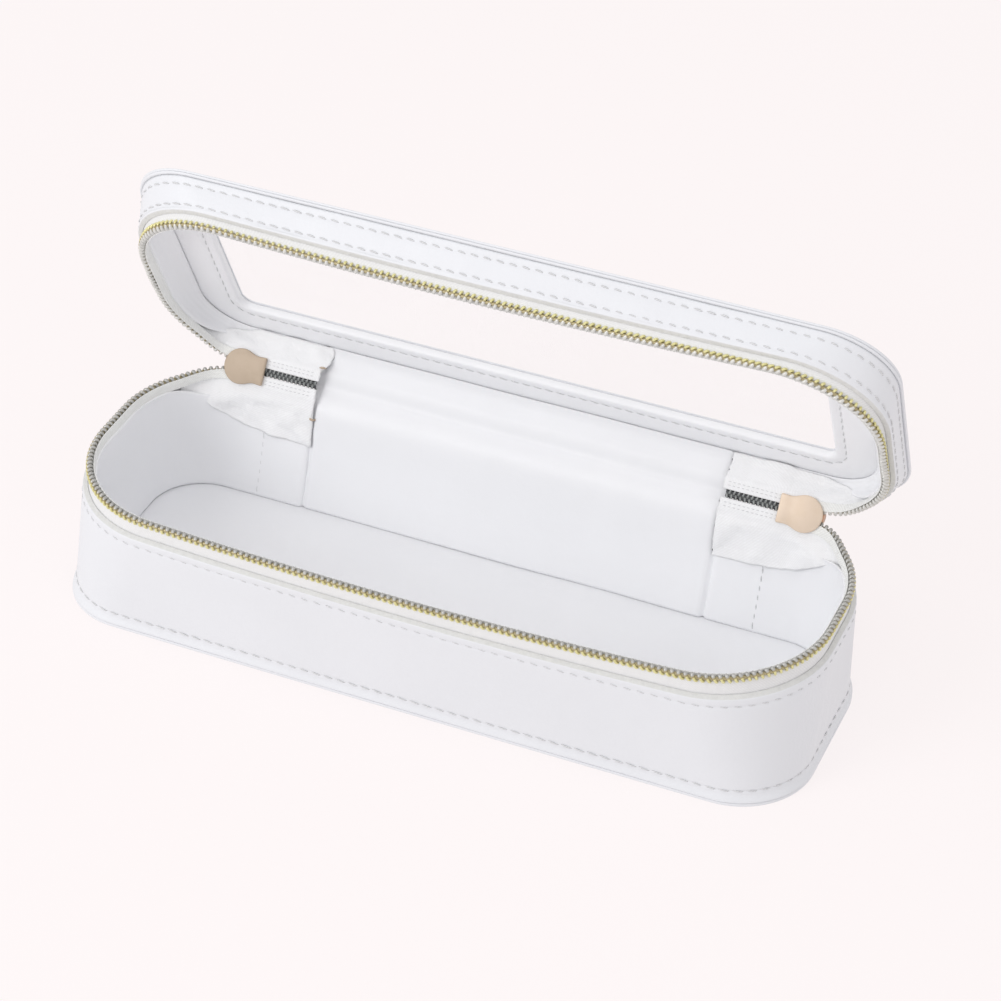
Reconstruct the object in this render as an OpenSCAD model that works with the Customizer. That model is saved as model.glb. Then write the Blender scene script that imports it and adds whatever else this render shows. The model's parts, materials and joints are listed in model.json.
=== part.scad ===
// Soft-walled jewellery case with a zipped, see-through lid.
// The case stands on its bottom, z = 0. The long sides run along X, the front faces -Y and the
// lid turns about a line parallel to X along the top of the back wall. All sizes in millimetres.
// A layer of a wall is placed by d, its distance outward from the wall's middle line.

/* [Zip line] */
// Length of the zip line, along X
rim_l = 208; // [190:1:230]
// Width of the zip line, along Y
rim_w = 71.7; // [68:0.1:80]
// Corner radius of the zip line
rim_r = 30; // [24:1:33]
// Bulge of the base's front edge in its middle
base_bow = 5; // [0:0.1:6]
// Bulge of the lid's front edge in its middle, where minus sags inward
lid_bow = -5; // [-6:0.1:1]

/* [Base] */
// Height of the hinge line above the table
hinge_z = 39; // [36:0.5:44]
// Length of the foot, to the middle of the wall
foot_l = 208; // [190:1:230]
// Width of the foot, to the middle of the wall
foot_w = 64.8; // [60:0.2:70]
// Corner radius of the foot, to the middle of the wall
foot_r = 18.2; // [14:0.1:24]
// Distance from the middle of the foot to the middle of the zip line, toward the back
rim_shift = 4.5; // [2:0.1:5]
// Height of the turned leather edge under the zip
base_edge_z = 32.3; // [31.8:0.1:32.6]

/* [Lid] */
// How far the lid stands open
lid_open = 64; // [0:1:94]
// Height of the lid above the zip line
lid_h = 13.4; // [13.4:0.1:16]
// Length of the lid's top, to the middle of the wall
top_l = 208.4; // [208:0.2:212]
// Width of the lid's top, to the middle of the wall
top_w = 76; // [74:0.2:79]
// Corner radius of the lid's top, to the middle of the wall
top_r = 16.5; // [14:0.5:24]
// How far the soft hinge lets the lid sit to the right
lid_shift = 2; // [0:0.5:3]
// Length of the window's opening
window_l = 174; // [150:1:178]
// Width of the window's opening
window_w = 44.6; // [36:0.2:48]
// Corner radius of the window's opening
window_r = 3.8; // [2:0.1:8]

/* [Zip] */
// Half the length of the soft hinge, where the closed coil starts
hinge_half = 60; // [50:1:62]
// Distance of a parked slider from the middle
slider_x = 81.7; // [80:0.1:82.5]
// Width of a slider
slider_w = 10; // [9:0.1:10.4]
// Length of a slider
slider_l = 12.2; // [11:0.1:13]
// Length of a pull, from its pivot to its end
pull_l = 17; // [12:0.5:17]

/* [Hidden] */

arc_step = 10;                       // angle between two points of a corner
open_from = 50;                      // angle on the back corners where the open zip starts
front_parts = 8;                     // stretches of the bowed front
hinge_y = rim_shift + rim_w / 2;     // the hinge line
tilt = lid_open / 2;                 // the sliders stand halfway between base and lid

// Layers of a wall, as distances outward from its middle line
skin_out = 1.5;
skin_in = 0.75;
board_out = 0.5;
board_in = -1.1;
lining_out = -1.35;
lining_in = -2.05;
base_lining_foot = -4.9;              // padded foot of the lining, at the floor
lid_lining_foot = -6;                 // padded foot of the lining, at the lid's frame
tape_out = 0.4;
tape_in = -0.5;
coil_half = 1.2;
flange_out = 2.4;

// Levels of the base
sole_t = 0.9;
board_z = 1.0;
pad_z = 3.0;
lining_z = 4.1;
floor_z = 4.7;
mid_z = 16;
board_top = 31.5;
tape_z = 31.6;
coil_z = 36.1;
rim_gap = 0.2;                       // half the gap between the two rows of coil

// Levels of the lid above the zip line
lid_coil_top = 2.9;
lid_board_h = 6.2;
lid_board_top = 11.2;
frame_lining_h = 10.6;
frame_board_h = 11.3;
window_h = 12.5;
window_t = 0.4;
frame_skin_h = 13.0;
lid_skin_top = 12.1;
slider_clear = 5.8;                  // nothing of the walls comes nearer to a slider's line

thread_t = 0.28;                     // how far a seam's thread stands out
thread_half = 0.25;                  // half the height of a seam's thread
film = 0.1;                          // gap between a thread and its leather

white_leather = [0.93, 0.93, 0.94];
white_lining = [0.95, 0.94, 0.94];
tape_white = [0.88, 0.87, 0.85];
coil_gold = [0.72, 0.58, 0.3];
tan_metal = [0.74, 0.66, 0.55];
rose_metal = [0.85, 0.7, 0.58];
board_grey = [0.6, 0.58, 0.55];
thread_white = [0.97, 0.97, 0.97];

// ---- Outlines -------------------------------------------------------------------------

function arc(cx, cy, r, from, to) =
    [for (a = [from : -arc_step : to]) [cx + r * cos(a), cy + r * sin(a)]];

function bowed(points, half, bow) =
    [for (p = points) [p[0], p[1] - bow * (1 - pow(p[0] / half, 2))]];

// A rounded rectangle, clockwise seen from above, from the back right corner round the front
// to the back left corner; start is 90 for the whole outline, or less to leave the back open.
function outline(l, w, r, bow, yc, d, start = 90) =
    let (
        x = l / 2 - r,
        front = yc - w / 2 + r,
        back = yc + w / 2 - r,
        rr = r + d,
        front_run = [for (i = [1 : front_parts - 1]) [x - 2 * x * i / front_parts, front - rr]]
    )
    concat(
        arc(x, back, rr, start, 0),
        bowed(arc(x, front, rr, 0, -90), l / 2 + d, bow),
        bowed(front_run, l / 2 + d, bow),
        bowed(arc(-x, front, rr, -90, -180), l / 2 + d, bow),
        arc(-x, back, rr, 180, 180 - start)
    );

function mixed(a, b, t) = [for (i = [0 : len(a) - 1]) a[i] + (b[i] - a[i]) * t];

function raised(points, z) = [for (p = points) [p[0], p[1], z]];

function base_flat(d, z, start = 90) =
    mixed(
        outline(foot_l, foot_w, foot_r, 0.4, 0, d, start),
        outline(rim_l, rim_w, rim_r, base_bow, rim_shift, d, start),
        z / hinge_z
    );

function lid_flat(d, h, start = 90) =
    mixed(
        outline(rim_l, rim_w, rim_r, lid_bow, rim_shift, d, start),
        outline(top_l, top_w, top_r, 0.4, rim_shift, d, start),
        h / lid_h
    );

// The back of a wall, where the sliders pass, has its own level for the same edge
function is_back(p) = p[1] > hinge_y - rim_r * (1 - sin(open_from)) - 1;

function with_back(front, back) =
    [for (i = [0 : len(front) - 1]) is_back(front[i]) ? back[i] : front[i]];

function base_ring(d, z, start = 90) = raised(base_flat(d, z, start), z);

function base_step(d, z, back_z, start = 90) =
    with_back(base_ring(d, z, start), base_ring(d, back_z, start));

function lid_ring(d, h, start = 90) = raised(lid_flat(d, h, start), hinge_z + h);

function lid_step(d, h, back_h, start = 90) =
    with_back(lid_ring(d, h, start), lid_ring(d, back_h, start));

// ---- Solids made from rings of points ---------------------------------------------------

// Joins rings of equal length into a closed band; the rings go round its cross-section
module band(rings, open = false) {
    n = len(rings[0]);
    k = len(rings);
    last = open ? n - 2 : n - 1;
    sides = [for (j = [0 : k - 1], i = [0 : last], half = [0, 1])
        let (
            a = j * n + i,
            b = j * n + (i + 1) % n,
            c = ((j + 1) % k) * n + (i + 1) % n,
            e = ((j + 1) % k) * n + i
        )
        half == 0 ? [a, b, c] : [a, c, e]];
    caps = open ? concat(
        [for (j = [1 : k - 2]) [0, j * n, (j + 1) * n]],
        [for (j = [1 : k - 2]) [n - 1, (j + 1) * n + n - 1, j * n + n - 1]]
    ) : [];
    polyhedron(points = [for (ring = rings, p = ring) p], faces = concat(sides, caps));
}

// Places what is drawn for the closed lid where the open lid has it
module on_lid(shift = lid_shift) {
    translate([shift, hinge_y, hinge_z])
        rotate([-lid_open, 0, 0])
            translate([0, -hinge_y, -hinge_z])
                children();
}

// Local frame of the closed coil: X along it, Y outward from the case, Z toward the lid
module on_chain() {
    translate([0, hinge_y, hinge_z])
        rotate([-tilt, 0, 0])
            children();
}

module plate(points, z, t) {
    translate([0, 0, z])
        linear_extrude(t)
            polygon(points);
}

module window_shape(grow) {
    r = window_r + grow;
    x = window_l / 2 + grow - r;
    y = window_w / 2 + grow - r;
    translate([0, rim_shift]) {
        square([2 * x + 2 * r, 2 * y], center = true);
        square([2 * x, 2 * y + 2 * r], center = true);
        for (i = [-1, 1], j = [-1, 1])
            translate([i * x, j * y])
                circle(r, $fn = 48);
    }
}

module frame_plate(d, h, t) {
    translate([0, 0, hinge_z + h])
        linear_extrude(t)
            difference() {
                polygon(lid_flat(d, h));
                window_shape(0);
            }
}

// A strip of the hinge panel between two levels, d0 to d1 outward from the back wall
module hinge_strip(points) {
    length = 2 * hinge_half - 0.4;
    translate([-length / 2, 0, 0])
        rotate([90, 0, 90])
            linear_extrude(length)
                polygon(points);
}

function back_y(z) = foot_w / 2 + (hinge_y - foot_w / 2) * z / hinge_z;

function base_seam(z) =
    let (d = skin_out + film)
    [base_ring(d, z - thread_half), base_ring(d + thread_t, z - thread_half),
     base_ring(d + thread_t, z + thread_half), base_ring(d, z + thread_half)];

function lid_seam(h, back_h) =
    let (d = skin_out + film)
    [lid_step(d, h - thread_half, back_h - thread_half),
     lid_step(d + thread_t, h - thread_half, back_h - thread_half),
     lid_step(d + thread_t, h + thread_half, back_h + thread_half),
     lid_step(d, h + thread_half, back_h + thread_half)];

// ---- Base ---------------------------------------------------------------------------------

// Outer leather of the bottom, out to the flange
module bottom_leather() {
    color(white_leather)
        plate(base_flat(flange_out, 0), 0, sole_t);
}

// Stiff board that keeps the bottom flat
module bottom_board() {
    color(board_grey)
        plate(base_flat(board_in - 0.5, pad_z), board_z, 1.9);
}

// Thin foam under the lining
module bottom_pad() {
    color("lightyellow")
        plate(base_flat(board_in - 0.7, floor_z), pad_z, 1);
}

// Smooth lining on the floor
module bottom_lining() {
    color(white_lining)
        plate(base_flat(board_in - 0.7, floor_z), lining_z, floor_z - lining_z);
}

// Stiff board inside the walls
module base_wall_board() {
    color(board_grey)
        band([
            base_ring(board_out, board_z),
            base_ring(board_out, mid_z),
            base_ring(board_out, board_top),
            base_ring(board_in, board_top),
            base_ring(board_in, mid_z),
            base_ring(board_in, board_z)
        ]);
}

// Outer leather of the walls, which flares out into the flange at the foot
module base_wall_leather() {
    color(white_leather)
        band([
            base_ring(flange_out, board_z),
            base_ring(flange_out, 1.6),
            base_ring(1.75, 2.8),
            base_ring(skin_out, 3.6),
            base_ring(skin_out, mid_z),
            base_ring(skin_out, base_edge_z),
            base_ring(skin_in, base_edge_z),
            base_ring(skin_in, mid_z),
            base_ring(skin_in, board_z)
        ]);
}

// Padded lining of the walls, from one edge of the hinge panel round the front to the other
module base_wall_lining() {
    rings = [
        base_ring(lining_out, floor_z + 0.1),
        base_ring(lining_out, mid_z),
        base_step(lining_out, 35, 32.5),
        base_step(lining_in, 35, 32.5),
        base_ring(lining_in - 0.2, mid_z),
        base_ring(base_lining_foot, floor_z + 0.1)
    ];
    color(white_lining)
        difference() {
            band(rings);
            translate([-hinge_half, foot_w / 2 - 12, 0])
                cube([2 * hinge_half, 30, 60]);
        }
}

// Woven tape of the zip, sewn in between leather and lining
module base_zip_tape() {
    color(tape_white)
        band([
            base_ring(tape_out, tape_z, open_from),
            base_ring(tape_out, coil_z - 0.1, open_from),
            base_ring(tape_in, coil_z - 0.1, open_from),
            base_ring(tape_in, tape_z, open_from)
        ], open = true);
}

// Open row of coil on the base's edge
module base_zip_coil() {
    top = hinge_z - rim_gap;
    color(coil_gold)
        band([
            base_ring(coil_half / 2, coil_z, open_from),
            base_ring(coil_half, coil_z + 0.8, open_from),
            base_ring(coil_half, top - 0.8, open_from),
            base_ring(coil_half / 2, top, open_from),
            base_ring(-coil_half / 2, top, open_from),
            base_ring(-coil_half, top - 0.8, open_from),
            base_ring(-coil_half, coil_z + 0.8, open_from),
            base_ring(-coil_half / 2, coil_z, open_from)
        ], open = true);
}

// Seam under the turned edge
module base_rim_thread() {
    color(thread_white)
        band(base_seam(30));
}

// Seam above the flange
module base_foot_thread() {
    color(thread_white)
        band(base_seam(4.2));
}

// Leather of the soft hinge, on the base
module hinge_leather_base() {
    low = base_edge_z + 0.1;
    high = hinge_z - 2.2;
    color(white_leather)
        hinge_strip([
            [back_y(low) + skin_in, low],
            [back_y(low) + skin_out, low],
            [back_y(high) + skin_out, high],
            [back_y(high) + skin_in, high]
        ]);
}

// Lining of the soft hinge, from the floor up
module hinge_lining_base() {
    low = floor_z + 0.1;
    high = hinge_z - 2;
    color(white_lining)
        hinge_strip([
            [back_y(low) + base_lining_foot, low],
            [back_y(low) + lining_out, low],
            [back_y(high) + lining_out, high],
            [back_y(high) + lining_in, high],
            [back_y(mid_z) + lining_in - 0.2, mid_z]
        ]);
}

// ---- Hinge line ---------------------------------------------------------------------------

// The fold itself, where leather and lining bend round the hinge line
module hinge_fold() {
    color(white_lining)
        translate([-hinge_half + 0.2, hinge_y, hinge_z])
            rotate([0, 90, 0])
                cylinder(r = 1.3, h = 2 * hinge_half - 0.4, $fn = 48);
}

// Closed stretch of coil between the hinge and a parked slider; side is 1 or -1
module chain(side) {
    color("darkgray")
        on_chain()
            translate([side * (hinge_half + 6.1), 0, 0])
                union() {
                    cube([11.8, 2.1, 3.8], center = true);
                    cube([11.8, 1.3, 5.4], center = true);
                }
}

module chain_left() {
    chain(-1);
}

module chain_right() {
    chain(1);
}

// ---- Sliders and pulls ----------------------------------------------------------------------

plate_in = 1.3;                       // clear half thickness for the coil
plate_out = 2.3;                      // outer face of a slider's plates
bar_in = 3.75;                        // inner face of the bridge's bar
bar_out = 4.65;                       // outer face of the bridge's bar
pivot_n = 4.7;                        // a pull's pivot, outward from the coil
ring_r = 1.75;                        // middle radius of a pull's ring
wire_t = 0.9;                         // square wire of a pull's ring

// Round head toward +X, straight-cut tail toward -X
module slider_shape() {
    head = slider_w / 2;
    tail = slider_w / 2 - 1;
    translate([slider_l / 2 - head, 0])
        circle(head, $fn = 64);
    polygon([
        [-slider_l / 2, -tail],
        [slider_l / 2 - head, -head],
        [slider_l / 2 - head, head],
        [-slider_l / 2, tail]
    ]);
}

module slider_plate(from, to) {
    translate([0, to, 0])
        rotate([90, 0, 0])
            linear_extrude(to - from)
                slider_shape();
}

// Slider with its round head outward; side is 1 or -1
module slider(side) {
    on_chain()
        translate([side * slider_x, 0, 0])
            mirror([side < 0 ? 1 : 0, 0, 0])
                union() {
                    slider_plate(plate_in, plate_out);
                    slider_plate(-plate_out, -plate_in);
                    // Wedge that parts the two rows
                    translate([0, plate_in, 0])
                        rotate([90, 0, 0])
                            linear_extrude(2 * plate_in)
                                polygon([[1.4, 0], [4.4, 1.3], [5.6, 0], [4.4, -1.3]]);
                    // Lips that guide the tapes
                    for (lip = [-1, 1], face = [-1, 1])
                        translate([-2.9, face * 0.95, lip * 3.7])
                            cube([6.4, 0.9, 0.6], center = true);
                    // Bridge that carries the pull
                    for (leg = [-1, 1])
                        translate([leg * 3.6, (plate_in + bar_out) / 2 + 0.2, 0])
                            cube([1.2, bar_out - plate_in - 0.4, 1.2], center = true);
                    translate([0, (bar_in + bar_out) / 2, 0])
                        cube([8.4, bar_out - bar_in, 1.2], center = true);
                }
}

module left_slider() {
    color(tan_metal)
        slider(-1);
}

module right_slider() {
    color(rose_metal)
        slider(1);
}

// Ring through the slider's bridge, with a flat tab that hangs from it
module pull(side) {
    translate([side * slider_x, hinge_y + pivot_n * cos(tilt), hinge_z - pivot_n * sin(tilt)]) {
        rotate([0, 90, 0])
            rotate_extrude($fn = 64)
                translate([ring_r - wire_t / 2, -wire_t / 2])
                    square(wire_t);
        translate([0, 0.6, 0])
            rotate([90, 0, 0])
                linear_extrude(1.2) {
                    translate([-1.1, -6])
                        square([2.2, 4.2]);
                    translate([-2.2, 2.2 - pull_l])
                        square([4.4, pull_l - 7.4]);
                    translate([0, 2.2 - pull_l])
                        circle(2.2, $fn = 48);
                    translate([0, -5.2])
                        circle(2.2, $fn = 48);
                }
    }
}

module left_pull() {
    color(tan_metal)
        pull(-1);
}

module right_pull() {
    color(rose_metal)
        pull(1);
}

// ---- Lid ------------------------------------------------------------------------------------

// Stiff board inside the lid's band
module lid_band_board() {
    color(board_grey)
        on_lid()
            band([
                lid_ring(board_out, lid_board_h),
                lid_ring(board_out, 8),
                lid_ring(board_out, lid_board_top),
                lid_ring(board_in, lid_board_top),
                lid_ring(board_in, 8),
                lid_ring(board_in, lid_board_h)
            ]);
}

// Outer leather of the lid's band
module lid_band_leather() {
    color(white_leather)
        on_lid()
            band([
                lid_step(skin_out, 4, slider_clear),
                lid_ring(skin_out, 8),
                lid_ring(skin_out, lid_skin_top),
                lid_ring(skin_in, lid_skin_top),
                lid_ring(skin_in, 8),
                lid_step(skin_in, 4, slider_clear)
            ]);
}

// Padded lining of the lid's band, from one edge of the hinge panel round the front to the other
module lid_band_lining() {
    color(white_lining)
        on_lid()
            difference() {
                band([
                    lid_step(lining_out, 3, lid_board_h),
                    lid_ring(lining_out, 8),
                    lid_ring(lining_out, frame_lining_h - 0.1),
                    lid_ring(lid_lining_foot, frame_lining_h - 0.1),
                    lid_ring(lining_in - 1, 8),
                    lid_step(lining_in, 3, lid_board_h)
                ]);
                translate([-hinge_half - lid_shift, hinge_y - 12, hinge_z - 5])
                    cube([2 * hinge_half, 30, 30]);
            }
}

// Board of the frame round the window
module lid_frame_board() {
    color(board_grey)
        on_lid()
            frame_plate(board_out - 0.4, frame_board_h, 1.1);
}

// Leather of the frame round the window
module lid_frame_leather() {
    color(white_leather)
        on_lid()
            frame_plate(skin_in - 0.05, frame_skin_h, lid_h - frame_skin_h);
}

// Lining of the frame round the window
module lid_frame_lining() {
    color(white_lining)
        on_lid()
            frame_plate(lining_out - 0.2, frame_lining_h, 0.6);
}

// Clear sheet, held between the frame's leather and board
module window() {
    color([0.85, 0.9, 0.95, 0.35])
        on_lid()
            translate([0, 0, hinge_z + window_h])
                linear_extrude(window_t)
                    window_shape(6);
}

// Piping round the lid's top edge
module lid_piping() {
    mid_d = 1.5;
    mid_h = 12.8;
    r = 0.66;
    color(white_leather)
        on_lid()
            band([for (a = [0 : 45 : 315]) lid_ring(mid_d + r * sin(a), mid_h + r * cos(a))]);
}

// Woven tape of the zip in the lid
module lid_zip_tape() {
    color(tape_white)
        on_lid()
            band([
                lid_ring(tape_out, lid_coil_top + 0.1, open_from),
                lid_ring(tape_out, lid_board_h - 0.1, open_from),
                lid_ring(tape_in, lid_board_h - 0.1, open_from),
                lid_ring(tape_in, lid_coil_top + 0.1, open_from)
            ], open = true);
}

// Open row of coil on the lid's edge
module lid_zip_coil() {
    color(coil_gold)
        on_lid()
            band([
                lid_ring(coil_half / 2, rim_gap, open_from),
                lid_ring(coil_half, rim_gap + 0.8, open_from),
                lid_ring(coil_half, lid_coil_top - 0.8, open_from),
                lid_ring(coil_half / 2, lid_coil_top, open_from),
                lid_ring(-coil_half / 2, lid_coil_top, open_from),
                lid_ring(-coil_half, lid_coil_top - 0.8, open_from),
                lid_ring(-coil_half, rim_gap + 0.8, open_from),
                lid_ring(-coil_half / 2, rim_gap, open_from)
            ], open = true);
}

// Seam beside the lid's turned edge
module lid_rim_thread() {
    color(thread_white)
        on_lid()
            band(lid_seam(5.6, 7.4));
}

// Seam under the lid's piping
module lid_top_thread() {
    color(thread_white)
        on_lid()
            band(lid_seam(10.3, 10.3));
}

// Seam that holds the window, round its opening
module window_thread() {
    color(thread_white)
        on_lid()
            translate([0, 0, hinge_z + lid_h + film])
                linear_extrude(thread_t)
                    difference() {
                        window_shape(2.8);
                        window_shape(2.3);
                    }
}

// Leather of the soft hinge, on the lid
module hinge_leather_lid() {
    low = hinge_z + 2.2;
    high = hinge_z + slider_clear - 0.1;
    color(white_leather)
        on_lid(0)
            hinge_strip([
                [hinge_y + skin_in, low],
                [hinge_y + skin_out, low],
                [hinge_y + skin_out, high],
                [hinge_y + skin_in, high]
            ]);
}

// Lining of the soft hinge, up to the lid's frame
module hinge_lining_lid() {
    low = hinge_z + 2;
    high = hinge_z + frame_lining_h - 0.1;
    back = hinge_y + (top_w - rim_w) / 2;
    color(white_lining)
        on_lid(0)
            hinge_strip([
                [hinge_y + lining_in, low],
                [hinge_y + lining_out, low],
                [hinge_y + lining_out, high],
                [back + lid_lining_foot, high],
                [hinge_y + lining_in - 0.6, hinge_z + 8]
            ]);
}

bottom_leather();
bottom_board();
bottom_pad();
bottom_lining();
base_wall_board();
base_wall_leather();
base_wall_lining();
base_zip_tape();
base_zip_coil();
base_rim_thread();
base_foot_thread();
hinge_leather_base();
hinge_lining_base();
hinge_fold();
chain_left();
chain_right();
left_slider();
right_slider();
left_pull();
right_pull();
lid_band_board();
lid_band_leather();
lid_band_lining();
lid_frame_board();
lid_frame_leather();
lid_frame_lining();
window();
lid_piping();
lid_zip_tape();
lid_zip_coil();
lid_rim_thread();
lid_top_thread();
window_thread();
hinge_leather_lid();
hinge_lining_lid();
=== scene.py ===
"""Looks of a soft-walled jewellery case with a zipped window lid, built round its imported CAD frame.

Sizes are in millimetres until a mesh is made, when they become the frame's metres.
A point of a wall is given by three things: its station round the outline, its distance out from
the wall's middle line, and its level. The base's level is a height above the table, the lid's a
height above the zip line, and the zip's own level is how far a point lies from the free edge.
"""

import json
import math
from collections import namedtuple

import bmesh
import bpy
import numpy as np
from mathutils import Matrix, Vector


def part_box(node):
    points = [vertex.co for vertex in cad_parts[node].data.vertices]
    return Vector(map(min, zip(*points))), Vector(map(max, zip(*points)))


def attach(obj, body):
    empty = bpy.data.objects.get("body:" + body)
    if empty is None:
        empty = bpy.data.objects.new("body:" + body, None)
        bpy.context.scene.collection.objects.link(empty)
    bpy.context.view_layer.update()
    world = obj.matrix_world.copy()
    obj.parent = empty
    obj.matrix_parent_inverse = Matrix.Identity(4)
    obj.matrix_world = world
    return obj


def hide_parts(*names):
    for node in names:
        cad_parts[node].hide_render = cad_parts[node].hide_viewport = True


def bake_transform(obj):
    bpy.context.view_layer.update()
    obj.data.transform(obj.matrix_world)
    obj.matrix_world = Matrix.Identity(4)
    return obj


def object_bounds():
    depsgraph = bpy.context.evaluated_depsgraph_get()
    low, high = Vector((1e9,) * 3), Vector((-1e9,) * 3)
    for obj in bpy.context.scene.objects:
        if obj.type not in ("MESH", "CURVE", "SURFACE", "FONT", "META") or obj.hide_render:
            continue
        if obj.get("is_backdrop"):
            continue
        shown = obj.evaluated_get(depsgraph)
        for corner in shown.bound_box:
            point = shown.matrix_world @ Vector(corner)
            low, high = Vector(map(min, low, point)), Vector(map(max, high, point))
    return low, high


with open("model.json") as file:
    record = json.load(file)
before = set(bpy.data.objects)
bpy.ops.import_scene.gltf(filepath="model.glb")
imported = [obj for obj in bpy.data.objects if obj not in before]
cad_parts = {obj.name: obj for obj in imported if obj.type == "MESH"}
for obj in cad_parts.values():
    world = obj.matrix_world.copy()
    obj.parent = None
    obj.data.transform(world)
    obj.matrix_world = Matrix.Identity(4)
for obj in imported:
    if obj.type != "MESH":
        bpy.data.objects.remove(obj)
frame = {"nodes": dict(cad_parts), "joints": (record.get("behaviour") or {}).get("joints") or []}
cad_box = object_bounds()
joints = {joint["name"]: joint for joint in frame["joints"]}

# ---- Sizes ----

HINGE_Y, HINGE_Z = (1000 * v for v in joints["lid_hinge"]["pos_m"][1:])
LID_OPEN = math.radians(-joints["lid_hinge"]["range_deg"][0])
TILT = LID_OPEN / 2  # the sliders stand halfway between base and lid
SLIDER_X = 500 * (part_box("right_slider")[0].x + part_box("right_slider")[1].x)
HINGE_HALF = 60.0  # half the length of the soft hinge
LID_SHIFT = 2.0  # how far the soft hinge lets the lid sit to the right
LID_H = 13.4  # height of the lid above the zip line
RIM_SHIFT = 4.5  # from the middle of the foot back to the middle of the zip line

Shape = namedtuple("Shape", "length width radius bow middle")
FOOT = Shape(208.0, 64.8, 18.2, 0.4, 0.0)
BASE_RIM = Shape(208.0, 2 * (HINGE_Y - RIM_SHIFT), 30.0, 5.0, RIM_SHIFT)
LID_RIM = BASE_RIM._replace(bow=-5.0)
LID_TOP = Shape(208.4, 76.0, 16.5, 0.4, RIM_SHIFT)

# Layers, as distances out from a wall's middle line
SKIN_OUT = 1.5
SKIN_IN = 0.75
LINING_OUT = -1.35
LINING_IN = -2.1

EDGE_OUT = 1.36  # a turned edge is coloured darker further in than this: its own duller edge with painted shade from the coil
EDGE_Z = 31.5  # and on the base, above this height
FLOOR_Z = 4.7  # top of the floor's lining at its rim
FLOOR_UNDER = 4.12  # its underside, on the foam
LID_EDGE = 4.0  # turned edge of the lid's leather, above the zip line
LID_EDGE_BACK = 5.8  # the same at the back, where the sliders pass
RIM_SEAM_Z = 30.0
FOOT_SEAM_Z = 4.2
LID_RIM_SEAM = 5.6
LID_RIM_SEAM_BACK = 7.4
LID_TOP_SEAM = 10.3

COIL_PITCH = 1.7
COIL_WIRE = 0.36
COIL_LEVEL = 1.55  # middle of a row of coil, from the free edge
CORE_RADIUS = 0.52  # filling cord inside a row of coil
PARTED = 0.85  # how far each row of coil leaves the middle as a slider parts them
CHAIN_END = 76.8  # where the closed coil ends inside a slider
TAPE_FROM, CORD_FROM, COIL_FROM = 66.0, 70.0, 84.0  # where on the back corners each starts, degrees
TAPE_THICK = 0.32
STITCH_PITCH = 3.55
WINDOW_SEAM = 2.55  # seam round the window, out from its opening
PULL_LENGTH = 17.0

SIDE_NAMES = {-1: "left", 1: "right"}


# ---- Outlines and walls ----

Stations = namedtuple("Stations", "side depth turn")
SEAM_SIDE = HINGE_HALF / (BASE_RIM.length / 2 - BASE_RIM.radius)
EDGE_SHARE = 0.07  # share of the back strip over which a lining's edge is rounded


def smooth(t):
    t = np.clip(t, 0.0, 1.0)
    return t * t * (3 - 2 * t)


def lerp(a, b, t):
    return a + (b - a) * t


def trace(keys, steps, closed=False):
    """Stations through key stations (side, depth, turn in degrees), clockwise seen from above."""
    parts = [np.linspace(a, b, n, endpoint=False) for a, b, n in zip(keys, keys[1:], steps)]
    rows = np.concatenate(parts if closed else parts + [np.array([keys[-1]], float)])
    return Stations(rows[:, 0], rows[:, 1], np.radians(rows[:, 2]))


def mirrored(keys):
    return [(-side, depth, -180 - turn) for side, depth, turn in keys[::-1]]


def round_front(start, steps, arc=18, side=5, front=54, closed=False):
    """From the key stations start round the right end and the front, and back as their mirror image."""
    keys = [*start, (1, 1, 0), (1, -1, 0), (1, -1, -90)]
    steps = [*steps, arc, side, arc, front, arc, side, arc, *steps[::-1]]
    return trace(keys + mirrored(keys), steps, closed)


def whole_outline(back=20, **steps):
    """Closed, from the middle of the back round the right end, the front and the left end."""
    start = [(0, 1, 90), (SEAM_SIDE, 1, 90), (1, 1, 90)]
    return round_front(start, [back, 8], closed=True, **steps)


def open_outline(turn, **steps):
    """From turn degrees on the right back corner round the front to the left back corner."""
    return round_front([(1, 1, turn)], [], **steps)


def panel_to_panel():
    """From the right edge of the hinge panel round the front to its left edge."""
    near = lerp(SEAM_SIDE, 1.0, EDGE_SHARE)
    return round_front([(SEAM_SIDE, 1, 90), (near, 1, 90), (1, 1, 90)], [6, 8])


def edge_round(st):
    """0 at the linings' edges beside the hinge panel, rising like a quarter circle to 1."""
    at_back = (st.depth > 1 - 1e-6) & (np.abs(np.sin(st.turn)) > 1 - 1e-6)
    beyond = (np.abs(st.side) - SEAM_SIDE) / (1 - SEAM_SIDE) / EDGE_SHARE
    gap = 1 - np.clip(np.where(at_back, beyond, 1.0), 0, 1)
    return np.sqrt(1 - gap ** 2)


def rect_at(st, shape, out):
    """Flat points of a rounded rectangle's outline, grown outward by out."""
    half_x = shape.length / 2 - shape.radius
    half_y = shape.width / 2 - shape.radius
    reach = shape.radius + out
    at_back = st.depth > 1 - 1e-6
    beyond = (np.abs(st.side) - SEAM_SIDE) / (1 - SEAM_SIDE)
    back_x = np.where(
        beyond < 0,
        st.side / SEAM_SIDE * HINGE_HALF,
        np.sign(st.side) * lerp(HINGE_HALF, half_x, beyond),
    )
    x = np.where(at_back, back_x, st.side * half_x) + reach * np.cos(st.turn)
    y = shape.middle + st.depth * half_y + reach * np.sin(st.turn)
    sag = shape.bow * (1 - (x / (shape.length / 2 + out)) ** 2)
    return x, np.where(at_back, y, y - sag)


def stacked(x, y, z):
    return np.stack(np.broadcast_arrays(x, y, z), axis=-1)


def wall_at(st, low, high, t, out, z):
    ax, ay = rect_at(st, low, out)
    bx, by = rect_at(st, high, out)
    return stacked(lerp(ax, bx, t), lerp(ay, by, t), z)


def base_at(st, out, z):
    """Points of the base's wall, out from its middle line, at height z."""
    return wall_at(st, FOOT, BASE_RIM, z / HINGE_Z, out, z)


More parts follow.
